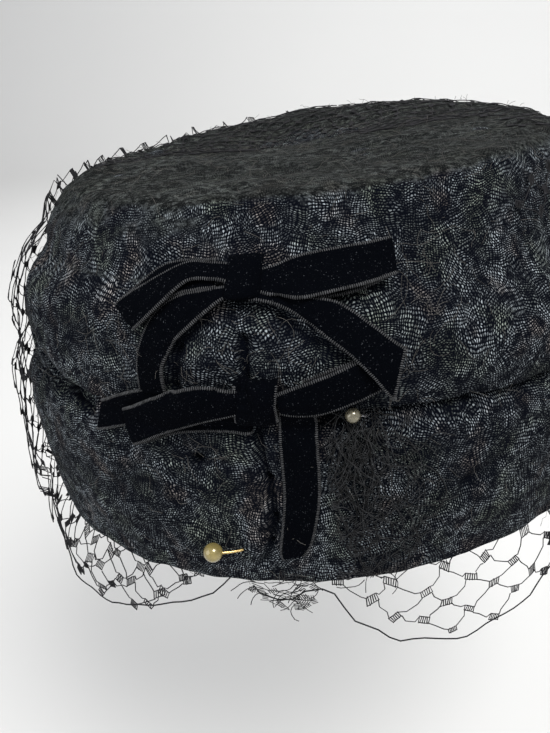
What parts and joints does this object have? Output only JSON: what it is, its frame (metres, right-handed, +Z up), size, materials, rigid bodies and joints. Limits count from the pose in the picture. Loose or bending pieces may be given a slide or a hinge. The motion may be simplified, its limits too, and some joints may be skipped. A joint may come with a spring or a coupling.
{
  "type": "pillbox hat",
  "caption": "draped straw pillbox hat with two velvet ribbon bows down the front, two hat pins and a net veil round the back and sides",
  "frame": {"origin": "middle of the head opening, level with the lower edge of the band, where the hat sits on a head", "axes": "+Z up out of the top, the front with the bows faces -Y, +X is to the right as seen from the front"},
  "size_m": [0.1954, 0.2019, 0.1233],
  "materials": {
    "straw_cloth": "matt woven straw, navy black",
    "velvet_ribbon": "velvet with a ribbed selvage",
    "net": "matt net thread",
    "pearl": "pearl lustre",
    "pin_brass": "bright",
    "bead_silver": "satin",
    "pin_steel": "bright"
  },
  "bodies": {
    "root": {"crown": "straw_cloth", "band": "straw_cloth", "upper_bow_right_loop": "velvet_ribbon", "upper_bow_left_loop": "velvet_ribbon", "upper_bow_knot": "velvet_ribbon", "upper_bow_left_tail": "velvet_ribbon", "upper_bow_right_tail": "velvet_ribbon", "lower_bow_left_loop": "velvet_ribbon", "lower_bow_right_loop": "velvet_ribbon", "lower_bow_knot": "velvet_ribbon", "lower_bow_left_tail": "velvet_ribbon", "lower_bow_long_tail": "velvet_ribbon", "pearl_pin_head": "pearl", "pearl_pin_shaft": "pin_brass", "bead_pin_head": "bead_silver", "bead_pin_shaft": "pin_steel", "veil": "net"}
  },
  "joints": []
}
